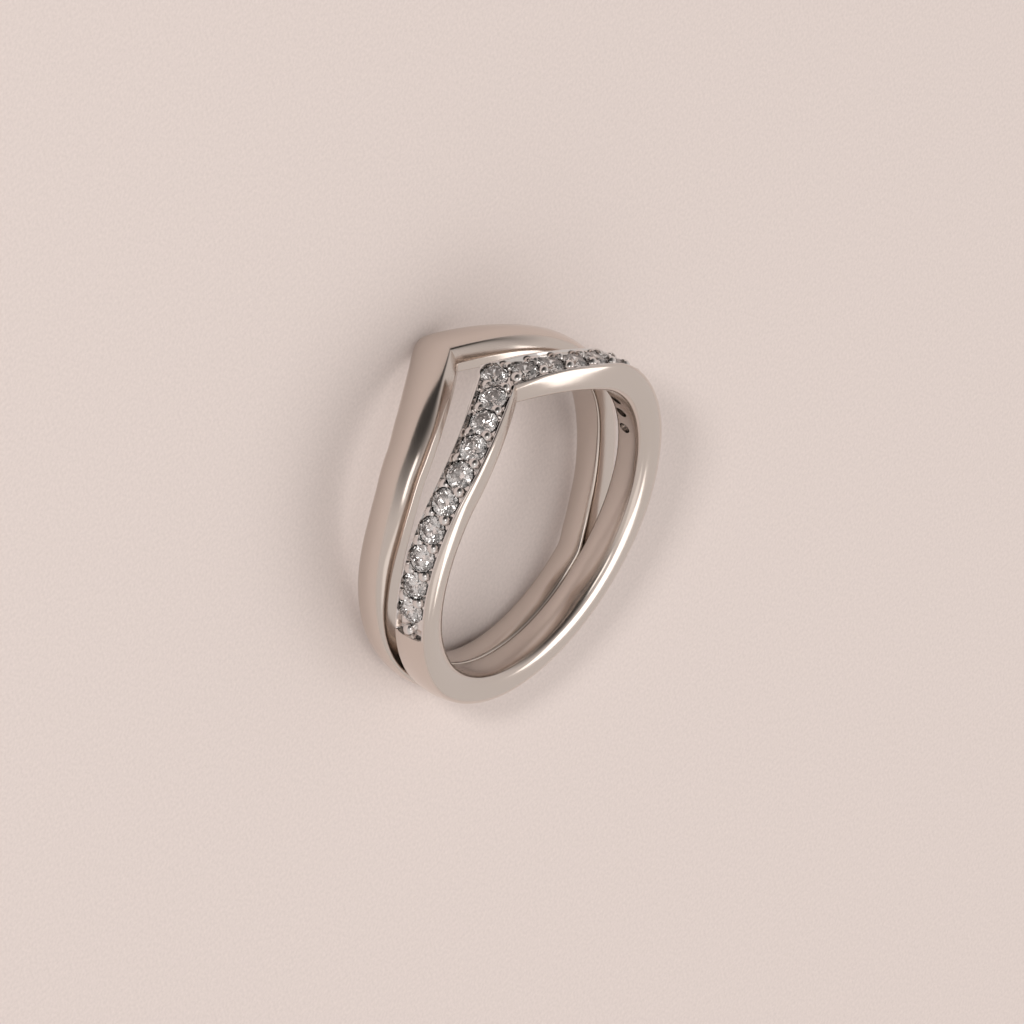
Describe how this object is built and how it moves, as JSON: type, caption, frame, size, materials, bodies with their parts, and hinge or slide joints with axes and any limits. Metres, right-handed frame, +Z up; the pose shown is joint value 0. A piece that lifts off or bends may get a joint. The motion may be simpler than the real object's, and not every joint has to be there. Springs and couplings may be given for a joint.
{
  "type": "chevron ring",
  "caption": "Chevron ring for a finger: a plain domed band beside a stone-set band, joined at the back and open between them round the V.",
  "frame": {"origin": "on the surface that the ring lies on, below the middle of its box", "axes": "+Z up from that surface, +Y from the V towards the back of the shank, +X towards the left arm; the finger hole runs along the ring's axis, which leans 15.7 degrees from +Z towards +Y"},
  "size_m": [0.0212, 0.0216, 0.0083],
  "materials": {
    "metal": "polished warm white gold",
    "stone": "cut and polished"
  },
  "bodies": {
    "root": {"band": "metal", "stone_corner": "stone", "stone_left_1": "stone", "stone_left_2": "stone", "stone_left_3": "stone", "stone_left_4": "stone", "stone_left_5": "stone", "stone_left_6": "stone", "stone_left_7": "stone", "stone_left_8": "stone", "stone_left_9": "stone", "stone_right_1": "stone", "stone_right_2": "stone", "stone_right_3": "stone", "stone_right_4": "stone", "stone_right_5": "stone", "stone_right_6": "stone", "stone_right_7": "stone", "stone_right_8": "stone", "stone_right_9": "stone"}
  },
  "joints": []
}
